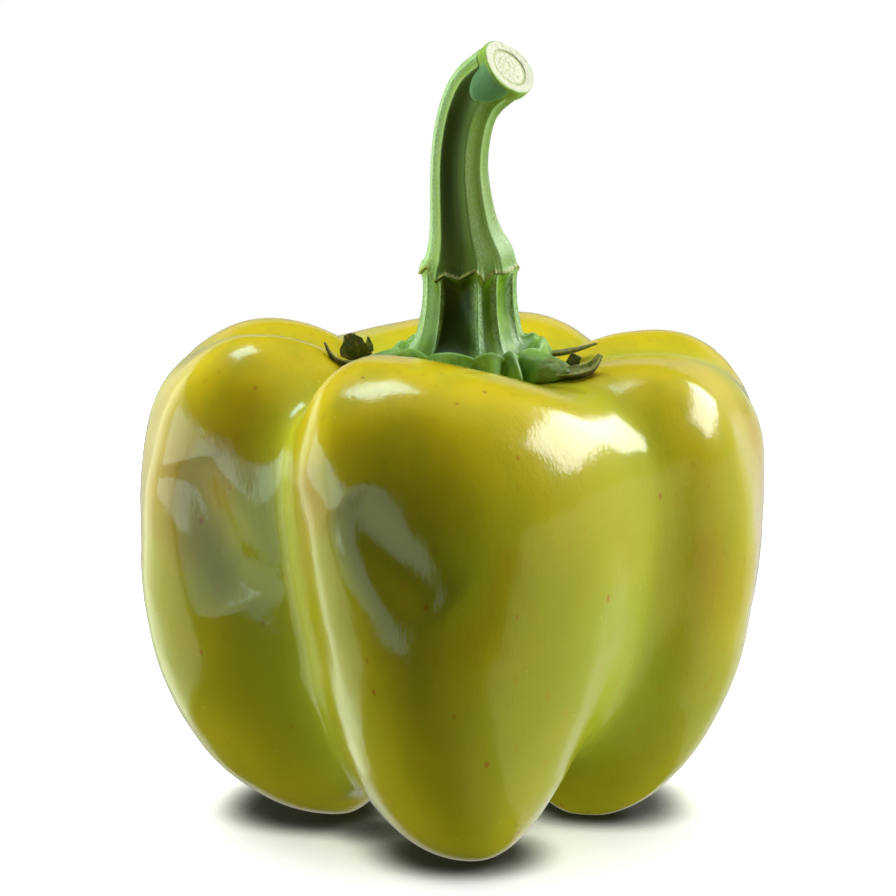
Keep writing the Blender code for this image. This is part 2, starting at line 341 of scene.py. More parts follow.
def azimuth_of(x, y):
    """The azimuth of a place given from the fruit's axis."""
    return math.degrees(math.atan2(x, -y))


def through(points, share):
    """A point of the smooth curve through the points, from the first, at 0, to the last, at 1."""
    place = min(max(share, 0.0), 1.0) * (len(points) - 1)
    index = min(int(place), len(points) - 2)
    t = place - index
    before, here, after, beyond = (
        points[min(max(index + step, 0), len(points) - 1)] for step in (-1, 0, 1, 2)
    )

    def one(a, b, c, d):
        return b + 0.5 * t * (c - a + t * (2 * a - 5 * b + 4 * c - d + t * (3 * (b - c) + d - a)))

    if isinstance(here, tuple):
        return tuple(one(*values) for values in zip(before, here, after, beyond))
    return one(before, here, after, beyond)


def between(items, start_of, azimuth):
    """The item whose stretch holds an azimuth, the one after it, and how far along the stretch."""
    for here, after in zip(items, items[1:] + items[:1]):
        width = (start_of(after) - start_of(here)) % 360
        along = (azimuth - start_of(here)) % 360
        if along < width:
            break
    return here, after, along / width


# Fruit ----------------------------------------------------------------------------------------------


def ridge_share(share):
    """0 in a groove and 1 on a ridge, level on the ridge and rounded in the groove."""
    longest = math.hypot(1.0, GROOVE_ROUNDING) - GROOVE_ROUNDING
    return math.sin(math.pi / 2 * (math.hypot(share, GROOVE_ROUNDING) - GROOVE_ROUNDING) / longest)


@functools.lru_cache(maxsize=4096)
def meridian_at(azimuth):
    """The fruit's section at an azimuth of its middle, between the two meridians beside it."""
    here, after, share = between(MERIDIANS, lambda m: (m.top + m.bottom) / 2, azimuth)
    weight = 1 - ridge_share(1 - share) if here.ridge else ridge_share(share)
    top = here.top + ((after.top - here.top) % 360) * share
    bottom = here.bottom + ((after.bottom - here.bottom) % 360) * share
    shapes = (
        blend(getattr(here, name), getattr(after, name), weight) for name in ("crest", "belly", "foot")
    )
    return Meridian(None, top, bottom, *shapes)


def valley_share(azimuth):
    """0 in a groove of the fruit and 1 on a ridge."""
    here, _, share = between(MERIDIANS, lambda m: (m.top + m.bottom) / 2, azimuth)
    return 1 - share if here.ridge else share


def twisted(meridian, height):
    """The azimuth of a section at a height: ridges and grooves lean as they go down."""
    return blend(meridian.top, meridian.bottom, 1 - height / FRUIT_HEIGHT)


def dip_height(crest, share):
    """Height of the dip's skin, a share of the way from its middle to the crest."""
    return blend(DIP_FLOOR, crest[1], (1 - math.cos(math.pi * share)) / 2)


def fruit_point(azimuth, descent):
    """A point of the skin: descent is 0 in the middle of the dip and 1 in the middle of the hollow."""
    section = meridian_at(azimuth)
    crest, belly, foot = section.crest, section.belly, section.foot
    if descent <= CREST_AT:
        share = descent / CREST_AT
        radius, height = crest[0] * share, dip_height(crest, share)
    elif descent <= BELLY_AT:
        turn = math.pi / 2 * (descent - CREST_AT) / (BELLY_AT - CREST_AT)
        radius = blend(crest[0], belly[0], math.sin(turn) ** (2 / SHOULDER_POWER))
        height = blend(belly[1], crest[1], abs(math.cos(turn)) ** (2 / SHOULDER_POWER))
    elif descent <= FOOT_AT:
        turn = math.pi / 2 * (descent - BELLY_AT) / (FOOT_AT - BELLY_AT)
        radius = blend(foot[0], belly[0], abs(math.cos(turn)) ** (2 / FLANK_POWER))
        height = blend(belly[1], foot[1], math.sin(turn) ** (2 / FLANK_POWER))
    else:
        share = (1 - descent) / (1 - FOOT_AT)
        radius = foot[0] * share
        height = blend(HOLLOW_ROOF, foot[1], (1 - math.cos(math.pi * share)) / 2)
    place = outward(twisted(section, height)) * radius
    return Vector((place.x, place.y, height))


def fruit_height(x, y):
    """Height of the skin on top of the fruit at a place given from its axis."""
    wanted = azimuth_of(x, y)
    radius = math.hypot(x, y)
    azimuth = wanted
    for _ in range(6):
        section = meridian_at(azimuth)
        azimuth += (wanted - twisted(section, section.crest[1]) + 180) % 360 - 180
    crest, belly = section.crest, section.belly
    if radius <= crest[0]:
        return dip_height(crest, radius / crest[0])
    turn = math.asin(min((radius - crest[0]) / (belly[0] - crest[0]), 1.0) ** (SHOULDER_POWER / 2))
    return blend(belly[1], crest[1], math.cos(turn) ** (2 / SHOULDER_POWER))


# Calyx ----------------------------------------------------------------------------------------------


def lobe_at(azimuth):
    """How far the calyx reaches at an azimuth, and how much of a lobe it is: 0 in a notch, 1 mid-lobe."""
    here, _, share = between(LOBES, lambda lobe: lobe.start, azimuth)
    hump = math.sin(math.pi * share) ** 0.7
    return blend(NOTCH_RADIUS, here.reach, hump), hump


def flute_at(ribs, azimuth, shape):
    """How deep the flutes between ribs are cut at an azimuth."""
    here, _, share = between(ribs, lambda rib: rib.azimuth, azimuth)
    return here.depth * math.sin(math.pi * share) ** shape


def scar_height(azimuth):
    """Height of the scar's zigzag at an azimuth."""
    here, after, share = between(SCAR, lambda corner: corner[0], azimuth)
    return blend(here[1], after[1], share)


def spans_apart(azimuth, middle, half):
    """How far an azimuth is from a middle one, counted in half spans."""
    return abs((azimuth - middle + 180) % 360 - 180) / half


def nearness(azimuth, middle, half):
    """1 at the middle azimuth, falling smoothly to 0 half a span away and beyond."""
    return math.cos(math.pi / 2 * min(spans_apart(azimuth, middle, half), 1.0)) ** 2


@functools.lru_cache(maxsize=4096)
def calyx_section(azimuth):
    """The (radius, height) points of the calyx's section, from the middle of its top to its edge."""
    flute = flute_at(RIBS, azimuth, NECK_SHAPE)
    neck = NECK_RADIUS - flute
    reach, hump = lobe_at(azimuth)
    rim = PAD_TOP[1] - NOTCH_DROP * (1 - hump)
    top = scar_height(azimuth) - 0.1
    edge = NECK_AXIS + outward(azimuth) * reach
    skin = fruit_height(edge.x, edge.y)
    ramp = nearness(azimuth, RAMP_AZIMUTH, RAMP_HALF)
    rise = RAMP_RISE * ramp
    rim = blend(rim, PAD_TOP[1] - 0.2, ramp) - LOW_DROP * nearness(azimuth, LOW_AZIMUTH, LOW_HALF)
    return (
        (0.0, top),
        (neck * 0.5, top),
        (NECK_RADIUS - 0.2 - 0.1 * flute, top),
        (NECK_RADIUS - 0.15 * flute, top - 0.35),
        (blend(NECK_RADIUS, neck, 0.8), top - 1.3),
        (neck, (top + FLARE_START) / 2),
        (neck + 0.2, FLARE_START),
        (blend(neck, VALLEY[0], 0.45), blend(FLARE_START, VALLEY[1], 0.65)),
        (VALLEY[0], VALLEY[1] - 0.2 + rise),
        (VALLEY[0] + 0.7, VALLEY[1] + 0.1 + rise * 0.75),
        (PAD_TOP[0] - 0.7, rim - 0.1 + rise * 0.4),
        (PAD_TOP[0] - 0.1, rim + 0.12 + rise * 0.25),
        (PAD_TOP[0] + 0.35, rim - 0.1 + rise * 0.15),
        (blend(PAD_TOP[0], reach, 0.55), blend(rim, skin + CALYX_EDGE, 0.4)),
        (reach - 0.15, skin + CALYX_EDGE),
        (reach, skin + CALYX_EDGE * 0.5),
    )


def crusted(radius):
    """How corky the calyx is at a distance from the neck's axis: 0 near it and 1 far out."""
    return max(0.0, min(1.0, (radius - CRUST_FROM) / CRUST_SPAN))


def calyx_point(azimuth, descent):
    """A point of the calyx, from the middle of its top, at 0, to the middle of its underside, at 1."""
    section = calyx_section(azimuth)
    if descent <= CALYX_UNDER_FROM:
        radius, height = through(section, descent / CALYX_UNDER_FROM)
        place = NECK_AXIS + outward(azimuth) * radius + Vector((0.0, 0.0, height))
        rough = CRUST_ROUGH * crusted(radius) + CALYX_ROUGH
        return place + Vector((0.0, 0.0, 1.0)) * (noise.noise(place / 0.9) * rough)
    radius = section[-1][0] * (1 - descent) / (1 - CALYX_UNDER_FROM) * 0.98
    place = NECK_AXIS + outward(azimuth) * radius
    return Vector((place.x, place.y, fruit_height(place.x, place.y) - 0.1))


# Stem and sepal tips --------------------------------------------------------------------------------


def frame_along(line, share, facing):
    """A point on a line, with the directions across it and out of its face there."""
    step = 0.01
    along = Vector(through(line, share + step)) - Vector(through(line, share - step))
    along.normalize()
    across = along.cross(facing).normalized()
    return Vector(through(line, share)), across, across.cross(along)


def swept_shares(descent):
    """How far along a sweep a ring is, and how much of its full width it has on a flat end."""
    if descent < CAP_SHARE:
        return 0.0, descent / CAP_SHARE
    if descent > 1 - CAP_SHARE:
        return 1.0, (1 - descent) / CAP_SHARE
    return (descent - CAP_SHARE) / (1 - 2 * CAP_SHARE), 1.0


def stem_point(azimuth, descent):
    """A point of the stem, from the middle of its upper end, at 0, to the middle of the scar, at 1."""
    share, width = swept_shares(1 - descent)
    middle, across, out = frame_along(STEM_LINE, share, Vector((0.0, -1.0, 0.0)))
    fading = min(1.0, share / 0.06) ** 0.5
    flute = flute_at(STEM_RIBS, azimuth, STEM_SHAPE) * fading
    radius = (through(STEM_RADII, share) + 0.25 * fading - flute) * width
    angle = math.radians(azimuth)
    place = middle + (across * math.sin(angle) + out * math.cos(angle)) * radius
    above = place.z - SCAR_LEVEL
    if above < SCAR_BLEND:
        near = (1 - max(above, 0.0) / SCAR_BLEND) ** 2
        place.z += (scar_height(azimuth) - SCAR_LEVEL) * near
        ragged = noise.noise(Vector((azimuth / 2.5, 0.0, 3.0))) * 0.3
        lip = SCAR_LIP * math.exp(-((above / 0.6) ** 2)) * width + ragged * near * width
        place += outward(azimuth) * lip
    return place




def stub_point(azimuth, descent):
    """A point of the stem's cut end, from the middle of the cut face, at 0, round to its back, at 1.

    An azimuth of 0 is the side that faces down. One side runs further back, as the shield-shaped
    scar of a leaf.
    """
    apart = spans_apart(azimuth, SHIELD_AZIMUTH, SHIELD_HALF)
    shield = math.cos(math.pi / 2 * min(apart, 1.0)) ** 0.8
    length = STUB_LENGTH + SHIELD_LENGTH * shield
    radius = STUB_RADIUS + STUB_UNEVEN * math.sin(math.radians(azimuth) * 3) + SHIELD_SWELL * shield
    section = (
        (0.0, 0.25),
        (radius * 0.3, 0.2),
        (radius * 0.62, 0.28),
        (radius * 0.7, 0.12),
        (radius * 0.9, 0.05),
        (radius - 0.12, 0.06),
        (radius, 0.35),
        (radius, length * 0.5),
        (radius - 0.05, length - 0.8),
        (radius - 0.35, length - 0.15),
        (radius - 1.0, length),
        (radius * 0.5, length - 0.3),
        (0.0, length - 0.4),
    )
    out, back = through(section, descent)
    down = (Vector((0.0, 0.0, -1.0)) + STUB_AXIS * STUB_AXIS.z).normalized()
    side = down.cross(STUB_AXIS)
    angle = math.radians(azimuth)
    place = STUB_FACE + (down * math.cos(angle) + side * math.sin(angle)) * out - STUB_AXIS * back
    return place + STUB_AXIS * (noise.noise(place / 0.6) * 0.07)


def tip_point(name, azimuth, descent):
    """A point of a sepal's tip, from its base, at 0, to its end, at 1, with its curl and torn edge."""
    tip, drying = TIPS[name], DRYING[name]
    share, width = swept_shares(descent)
    middle, across, out = frame_along(tip.line, share, Vector(tip.facing))
    angle = math.radians(azimuth)
    side = math.sin(angle)
    torn = noise.noise(Vector((share * 6.0, side * 2.0, len(name)))) * drying.torn
    half_width = through(tip.widths, share) / 2 * width * (1 + torn)
    half_thickness = through(tip.thicknesses, share) / 2 * width * drying.thinness
    ripple = noise.noise(Vector((share * 5.0, side * 2.5, 7.0))) * drying.ripple
    cup = drying.cup * side * side * through(tip.widths, share) / 2 * width
    lengthen = Vector(tip.line[-1]) - Vector(tip.line[-2])
    end = lengthen.normalized() * (torn * 1.2 * max(0.0, share - 0.6) / 0.4)
    lift = math.cos(angle) * half_thickness + (cup + ripple) * min(1.0, share * 3 + 0.2)
    return middle + across * (side * half_width) + out * lift + end


# Meshes ---------------------------------------------------------------------------------------------


def ball_grid(columns, rings, place):
    """The places of a ball's vertices, as an array of rings by columns, with a pole in each end ring."""
    grid = np.zeros((rings + 1, columns, 3))
    for column in range(columns):
        azimuth = 360 * column / columns
        for ring in range(rings + 1):
            grid[ring, column] = place(azimuth, ring / rings)
    return grid


def softened(grid, passes, across=0):
    """The grid with each ring moved towards its neighbours, passes times, and each column across times."""
    half = grid.shape[1] // 2
    for step in range(max(passes, across)):
        if step < passes:
            above = np.concatenate([np.roll(grid[1:2], half, axis=1), grid[:-1]])
            below = np.concatenate([grid[1:], np.roll(grid[-2:-1], half, axis=1)])
            grid = grid * 0.5 + (above + below) * 0.25
        if step < across:
            grid = grid * 0.5 + (np.roll(grid, 1, axis=1) + np.roll(grid, -1, axis=1)) * 0.25
    grid[0] = grid[0].mean(axis=0)
    grid[-1] = grid[-1].mean(axis=0)
    return grid


def ball_object(name, grid, look, marks=None):
    """A closed mesh object from a ball's grid, in millimetres from the fruit's axis."""
    rings, columns = grid.shape[0] - 1, grid.shape[1]
    inner = grid[1:-1].reshape(-1, 3)
    places = np.concatenate([inner, grid[:1, 0], grid[-1:, 0]]) * MM
    top, bottom = len(inner), len(inner) + 1
    faces = []
    for ring in range(rings - 2):
        for column in range(columns):
            after = (column + 1) % columns
            here, below = ring * columns, (ring + 1) * columns
            faces.append((here + column, below + column, below + after, here + after))
    last = (rings - 2) * columns
    for column in range(columns):
        after = (column + 1) % columns
        faces.append((top, column, after))
        faces.append((bottom, last + after, last + column))
    mesh = bpy.data.meshes.new(name)
    mesh.from_pydata([tuple(place) for place in places], [], faces)
    mesh.shade_smooth()
    for mark, values in (marks or {}).items():
        ordered = np.concatenate([values[1:-1].reshape(-1), values[0, :1], values[-1, :1]])
        mesh.attributes.new(mark, "FLOAT", "POINT").data.foreach_set("value", ordered)
    mesh.materials.append(look)
    made = bpy.data.objects.new(name, mesh)
    bpy.context.scene.collection.objects.link(made)
    return made


# Materials ------------------------------------------------------------------------------------------


def new_material(name, roughness):
    """A new material and its shader."""
    made = bpy.data.materials.new(name)
    made.use_nodes = True
    shader = made.node_tree.nodes["Principled BSDF"]
    shader.inputs["Roughness"].default_value = roughness
    return made, shader


def node(look, kind, inputs=None, **settings):
    """A new node of a material, with its settings, and its inputs set to values or joined to outputs."""
    made = look.node_tree.nodes.new("ShaderNode" + kind)
    for name, value in settings.items():
        setattr(made, name, value)
    for name, value in (inputs or {}).items():
        join(look, value, made.inputs[name])
    return made


def join(look, value, socket):
    """Joins an output to a socket, or sets the socket to a value."""
    if isinstance(value, bpy.types.NodeSocket):
        look.node_tree.links.new(value, socket)
    else:
        socket.default_value = value


def stretched(look, stretch):
    """The object's own coordinates with each axis multiplied, to draw a pattern out along one."""
    places = node(look, "TexCoord").outputs["Object"]
    return node(look, "Mapping", {"Vector": places, "Scale": stretch}).outputs["Vector"]


def noise_of(look, size, detail=2.0, stretch=(1.0, 1.0, 1.0), roughness=0.5):
    """Noise from 0 to 1 with patches of about a size in millimetres."""
    inputs = {
        "Vector": stretched(look, stretch),
        "Scale": 1 / (size * MM),
        "Detail": detail,
        "Roughness": roughness,
    }
    return node(look, "TexNoise", inputs).outputs["Fac"]


def stepped(look, value, low, high, start=0.0, end=1.0):
    """A value's share of the way from low to high, smoothed at both ends, as start to end."""
    inputs = {"Value": value, "From Min": low, "From Max": high, "To Min": start, "To Max": end}
    return node(look, "MapRange", inputs, interpolation_type="SMOOTHSTEP").outputs["Result"]


def by_height(look, height, heights, end=1.0):
    """0 at the first of two heights in millimetres, and end at the second."""
    return stepped(look, height, heights[0] * MM, heights[1] * MM, 0.0, end)


def mixed(look, share, low, high):
    """One colour mixed into another by a share."""
    made = node(look, "Mix", data_type="RGBA")
    for socket, value in zip((made.inputs[0], made.inputs[6], made.inputs[7]), (share, low, high)):
        join(look, value, socket)
    return made.outputs[2]


def times(look, first, second):
    """The product of two values."""
    return node(look, "Math", {0: first, 1: second}, operation="MULTIPLY").outputs[0]


def colour(red, green, blue):
    """A full, opaque colour."""
    return (red, green, blue, 1.0)


def specks(look, speck):
    """Soft dots about a spacing apart, in millimetres, on a share of the places where one could be."""
    inputs = {"Vector": stretched(look, (1.0, 1.0, speck.squeeze)), "Scale": 1 / (speck.spacing * MM)}
    cells = node(look, "TexVoronoi", inputs)
    reach = speck.radius / speck.spacing
    dots = stepped(look, cells.outputs["Distance"], reach, 0.25 * speck.radius / speck.spacing)
    chosen = node(look, "SeparateColor", {"Color": cells.outputs["Color"]}).outputs["Red"]
    return times(look, dots, stepped(look, chosen, speck.share + 0.02, speck.share))


def bumped(look, shader, height, distance, under=None):
    """Bump on a shader, a height of 0 to 1 standing for a distance in millimetres."""
    inputs = {"Height": height, "Distance": distance * MM}
    if under:
        inputs["Normal"] = under
    normal = node(look, "Bump", inputs).outputs["Normal"]
    look.node_tree.links.new(normal, shader.inputs["Normal"])
    return normal


RIPE_YELLOW = colour(0.66, 0.53, 0.006)
LEAF_YELLOW = colour(0.50, 0.455, 0.008)
UNRIPE_GREEN = colour(0.37, 0.40, 0.010)
BLUSH = colour(0.47, 0.29, 0.004)
GROOVE_GREEN = colour(0.42, 0.52, 0.03)
ORANGE_SPECK = colour(0.42, 0.13, 0.004)
BROWN_SPECK = colour(0.19, 0.09, 0.006)
PALE_SPECK = colour(0.75, 0.72, 0.12)

# The heights between which the skin ripens, turns leafy at the feet, and gains and loses its blush.
RIPENS = (44.0, 70.0)
FOOT_TURNS = (22.0, 2.0)
BLUSH_RISES = (26.0, 48.0)
BLUSH_FADES = (70.0, 60.0)

# Freckles: their spacing, radius, the share of places that have one, their squeeze in height,
# their strength and colour.
Speck = collections.namedtuple("Speck", "spacing radius share squeeze strength tone")
SPECKS = (
    Speck(2.6, 0.6, 0.5, 0.6, 0.35, BLUSH),
    Speck(4.1, 0.5, 0.4, 0.6, 0.75, ORANGE_SPECK),
    Speck(6.3, 0.4, 0.6, 0.7, 0.8, BROWN_SPECK),
    Speck(3.3, 0.25, 0.45, 1.0, 0.5, PALE_SPECK),
)


def skin_look():
    """Ripening pepper skin: yellow on the shoulders, greener down the sides, under a clear glossy coat."""
    look, shader = new_material("pepper_skin", 0.34)
    height = node(look, "SeparateXYZ", {"Vector": stretched(look, (1.0, 1.0, 1.0))}).outputs["Z"]
    ripe = by_height(look, height, RIPENS)
    patches = noise_of(look, 32.0, 2.0)
    streaks = noise_of(look, 5.0, 3.0, (1.0, 1.0, 0.13))
    flank = mixed(look, stepped(look, patches, 0.35, 0.65), LEAF_YELLOW, UNRIPE_GREEN)
    flank = mixed(look, by_height(look, height, FOOT_TURNS, 0.55), flank, LEAF_YELLOW)
    tone = mixed(look, ripe, flank, RIPE_YELLOW)
    blush = times(look, stepped(look, noise_of(look, 21.0, 2.0), 0.47, 0.68), 0.75)
    band = times(look, by_height(look, height, BLUSH_RISES), by_height(look, height, BLUSH_FADES))
    tone = mixed(look, times(look, blush, band), tone, BLUSH)
    tone = mixed(look, stepped(look, streaks, 0.4, 0.75, 0.0, 0.4), tone, UNRIPE_GREEN)
    valley = node(look, "Attribute", attribute_name="valley").outputs["Fac"]
    tone = mixed(look, times(look, stepped(look, valley, 0.5, 1.0), 0.5), tone, GROOVE_GREEN)
    for speck in SPECKS:
        tone = mixed(look, times(look, specks(look, speck), speck.strength), tone, speck.tone)
    join(look, tone, shader.inputs["Base Color"])
    shader.inputs["Specular IOR Level"].default_value = 0.04
    shader.inputs["Coat Weight"].default_value = 1.0
    shader.inputs["Coat Roughness"].default_value = 0.06
    shader.inputs["Coat IOR"].default_value = 1.5
    scratches = noise_of(look, 0.55, 3.0, (1.0, 1.0, 0.4), 0.6)
    broad = bumped(look, shader, noise_of(look, 3.5, 2.0, (1.0, 1.0, 0.5)), 0.05)
    fine = bumped(look, shader, scratches, 0.034, broad)
    join(look, fine, shader.inputs["Coat Normal"])
    return look


STEM_GREEN = colour(0.17, 0.36, 0.025)
STEM_LIGHT = colour(0.25, 0.42, 0.05)
# Painted shade for the stem's channels.
STEM_PAINTED_SHADE = colour(0.065, 0.10, 0.001)
# Pale waxy coating with painted highlight, for the stem's ribs.
STEM_BLOOM_AND_HIGHLIGHT = colour(0.45, 0.68, 0.38)
KNOB_GREEN = colour(0.14, 0.34, 0.13)
CALYX_GREEN = colour(0.11, 0.29, 0.008)
CALYX_LIGHT = colour(0.20, 0.42, 0.015)
# Painted shade for the neck's flutes, below the scar's lip.
CALYX_PAINTED_SHADE = colour(0.035, 0.055, 0.001)
# Pale waxy coating with painted highlight, for the ribs and rims of the calyx.
CALYX_BLOOM_AND_HIGHLIGHT = colour(0.48, 0.70, 0.40)
CRUST = colour(0.44, 0.48, 0.10)
CRUST_DARK = colour(0.17, 0.20, 0.02)
ARM_CRUST = colour(0.20, 0.34, 0.05)
DRY_OCHRE = colour(0.28, 0.22, 0.045)
CUT_CREAM = colour(0.58, 0.62, 0.42)
CUT_RING = colour(0.36, 0.46, 0.13)
CUT_PITH = colour(0.66, 0.67, 0.50)
CUT_RIM = colour(0.27, 0.48, 0.05)
DRY_GREEN = colour(0.02, 0.065, 0.025)
DRY_BROWN = colour(0.10, 0.075, 0.015)
DRY_PALE = colour(0.42, 0.47, 0.10)


def mark_of(look, name):
    """A number kept on the piece's vertices."""
    return node(look, "Attribute", attribute_name=name).outputs["Fac"]


def satin(name, roughness):
    """A plant surface with a faint wax sheen."""
    look, shader = new_material(name, roughness)
    shader.inputs["Specular IOR Level"].default_value = 0.35
    return look, shader


def shade_bloom_and_highlight(look, tone, bloom, wax_and_highlight, dark, shade):
    """A green with painted shade in its flutes and a speckled, pale waxy coating with painted highlight on
    its ribs, both by their marks.
    """
    # Painted shade in the flutes.
    tone = mixed(look, mark_of(look, dark), tone, shade)
    dots = stepped(look, noise_of(look, 0.3, 2.0, (1.0, 1.0, 0.6)), 0.4, 0.58, 0.3, 1.0)
    streaks = stepped(look, noise_of(look, 1.6, 3.0, (1.0, 1.0, 0.15)), 0.3, 0.6, 0.5, 1.0)
    # Pale waxy coating with painted highlight on the ribs.
    return mixed(look, times(look, times(look, dots, streaks), mark_of(look, bloom)), tone, wax_and_highlight)


def stem_look():
    """Stem green with painted shade in its channels, a pale waxy coating with painted highlight on its
    ribs, and a corky band at the scar.
    """
    look, shader = satin("pepper_stem", 0.45)
    shader.inputs["Specular IOR Level"].default_value = 0.2
    broad = stepped(look, noise_of(look, 5.0, 3.0, (1.0, 1.0, 0.3)), 0.35, 0.68)
    tone = mixed(look, broad, STEM_GREEN, STEM_LIGHT)
    tone = shade_bloom_and_highlight(look, tone, "bloom", STEM_BLOOM_AND_HIGHLIGHT, "dark", STEM_PAINTED_SHADE)
    crumbs = noise_of(look, 0.3, 3.0, (1.0, 1.0, 1.0), 0.7)
    cork = mixed(look, stepped(look, crumbs, 0.38, 0.6), CRUST_DARK, CRUST)
    edge = times(look, mark_of(look, "scar"), stepped(look, crumbs, 0.25, 0.6, 0.5, 1.25))
    tone = mixed(look, stepped(look, edge, 0.3, 0.7, 0.0, 0.8), tone, cork)
    join(look, tone, shader.inputs["Base Color"])
    bumped(look, shader, noise_of(look, 0.4, 3.0, (1.0, 1.0, 0.6)), 0.035)
    return look


def cut_look():
    """The cut end: green outside, and on the cut a cream flesh with a ring of vessels and pale pith."""
    look, shader = satin("pepper_stem_cut", 0.5)
    shader.inputs["Specular IOR Level"].default_value = 0.15
    grain = noise_of(look, 0.5, 4.0, (1.0, 1.0, 1.0), 0.65)
    skin = mixed(look, stepped(look, grain, 0.3, 0.65), STEM_GREEN, STEM_LIGHT)
    knob = times(look, mark_of(look, "knob"), stepped(look, grain, 0.2, 0.6, 0.7, 1.0))
    skin = mixed(look, knob, skin, KNOB_GREEN)
    wavy = {0: mark_of(look, "away"), 1: times(look, grain, 0.1)}
    away = node(look, "Math", wavy, operation="ADD").outputs[0]
    flesh = mixed(look, stepped(look, away, 0.64, 0.5), CUT_CREAM, CUT_PITH)
    ring = times(look, stepped(look, away, 0.58, 0.66), stepped(look, away, 0.76, 0.68))
    flesh = mixed(look, times(look, ring, 0.8), flesh, CUT_RING)
    cells = stepped(look, noise_of(look, 0.42, 3.0, (1.0, 1.0, 1.0), 0.7), 0.42, 0.6)
    pith = times(look, times(look, cells, stepped(look, away, 0.62, 0.45)), 0.8)
    flesh = mixed(look, pith, flesh, CUT_RING)
    flesh = mixed(look, stepped(look, away, 0.97, 1.05), flesh, CUT_RIM)
    tone = mixed(look, mark_of(look, "cut"), skin, flesh)
    join(look, tone, shader.inputs["Base Color"])
    bumped(look, shader, grain, 0.1)
    return look


def calyx_look():
    """Calyx green with painted shade deep in the neck's flutes, a pale waxy coating with painted highlight
    on ribs and rims, and corky towards the dried arm.
    """
    look, shader = satin("pepper_calyx", 0.4)
    shader.inputs["Specular IOR Level"].default_value = 0.25
    broad = stepped(look, noise_of(look, 3.0, 3.0), 0.38, 0.62)
    tone = mixed(look, broad, CALYX_GREEN, CALYX_LIGHT)
    tone = shade_bloom_and_highlight(look, tone, "bloom", CALYX_BLOOM_AND_HIGHLIGHT, "dark", CALYX_PAINTED_SHADE)
    crumbs = noise_of(look, 0.6, 3.0, (1.0, 1.0, 1.0), 0.7)
    cork = mixed(look, stepped(look, crumbs, 0.35, 0.6), CRUST_DARK, ARM_CRUST)
    edge = times(look, mark_of(look, "scar"), stepped(look, crumbs, 0.2, 0.7, 0.5, 1.3))
    tone = mixed(look, stepped(look, edge, 0.4, 0.7), tone, cork)
    join(look, tone, shader.inputs["Base Color"])
    bumped(look, shader, noise_of(look, 0.4, 3.0, (1.0, 1.0, 0.6)), 0.04)
    return look


def dry_look():
    """Dried sepal: dark green and brown in patches, paler inside and along its edge."""
    look, shader = satin("dry_sepal", 0.55)
    patches = noise_of(look, 0.9, 4.0, (1.0, 1.0, 1.0), 0.7)
    tone = mixed(look, stepped(look, patches, 0.42, 0.58), DRY_GREEN, DRY_BROWN)
    spots = stepped(look, noise_of(look, 0.5, 2.0, (1.0, 1.0, 0.5)), 0.56, 0.66)
    tone = mixed(look, spots, tone, DRY_OCHRE)
    frayed = stepped(look, noise_of(look, 0.6, 3.0), 0.3, 0.6, 0.5, 1.0)
    pale = times(look, mark_of(look, "pale"), frayed)
    tone = mixed(look, pale, tone, DRY_PALE)
    join(look, tone, shader.inputs["Base Color"])
    bumped(look, shader, noise_of(look, 0.5, 4.0, (1.0, 1.0, 1.0), 0.7), 0.12)
    return look


# Scene ----------------------------------------------------------------------------------------------


def add_piece(name, grid, look, slot, axis, *nodes, marks=None):
    """A piece that rides on the part's body and stands for its nodes; the slot is not used."""
    piece = ball_object(name, grid, look, marks)
    piece.location = axis * MM
    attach(piece, "root")
    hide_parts(*nodes)
    return piece


# The skin's faint unevenness: the size of its swells and their height.
UNEVEN = ((9.0, 0.22), (4.0, 0.05))

# A shallow dent of the skin, seen from the front: the ends of its line, as (x, height), width and depth.
Dent = collections.namedtuple("Dent", "start end width depth")
DENTS = (
    Dent((-15.0, 55.0), (-1.0, 41.0), 4.0, 1.3),
    Dent((-21.5, 56.0), (-20.0, 26.0), 3.0, 0.5),
    Dent((-38.0, 56.0), (-29.5, 36.0), 4.0, 1.2),
    Dent((10.0, 34.0), (14.0, 12.0), 6.0, 0.5),
    Dent((33.0, 58.0), (29.0, 20.0), 5.0, 0.6),
)


def dent_depth(place):
    """How deep the dents are at a place of the front half."""
    depth = 0.0
    if place.y > 0:
        return depth
    for dent in DENTS:
        start, end = Vector(dent.start), Vector(dent.end)
        here = Vector((place.x, place.z)) - start
        along = (end - start).normalized()
        share = here.dot(along) / (end - start).length
        apart = here.cross(along) / dent.width
        ends = max(0.0, 1 - (2 * share - 1) ** 4) if 0 < share < 1 else 0.0
        depth += dent.depth * ends * math.exp(-apart * apart)
    return depth


def dented(grid):
    """The fruit's grid with its shallow dents and its faint unevenness."""
    made = grid.copy()
    rings, columns = grid.shape[:2]
    for ring in range(1, rings - 1):
        for column in range(columns):
            place = Vector(grid[ring, column])
            around = np.roll(grid[ring], 1 - column, axis=0)
            across = Vector(around[2] - around[0])
            down = Vector(grid[ring + 1, column] - grid[ring - 1, column])
            normal = down.cross(across).normalized()
            uneven = sum(noise.noise(place / size) * height for size, height in UNEVEN)
            made[ring, column] = place - normal * (dent_depth(place) - uneven)
    return made


def marks_of(columns, rings, value):
    """A number for each vertex of a ball's grid, from its azimuth and descent."""
    return np.array(
        [[value(360 * c / columns, r / rings) for c in range(columns)] for r in range(rings + 1)]
    )


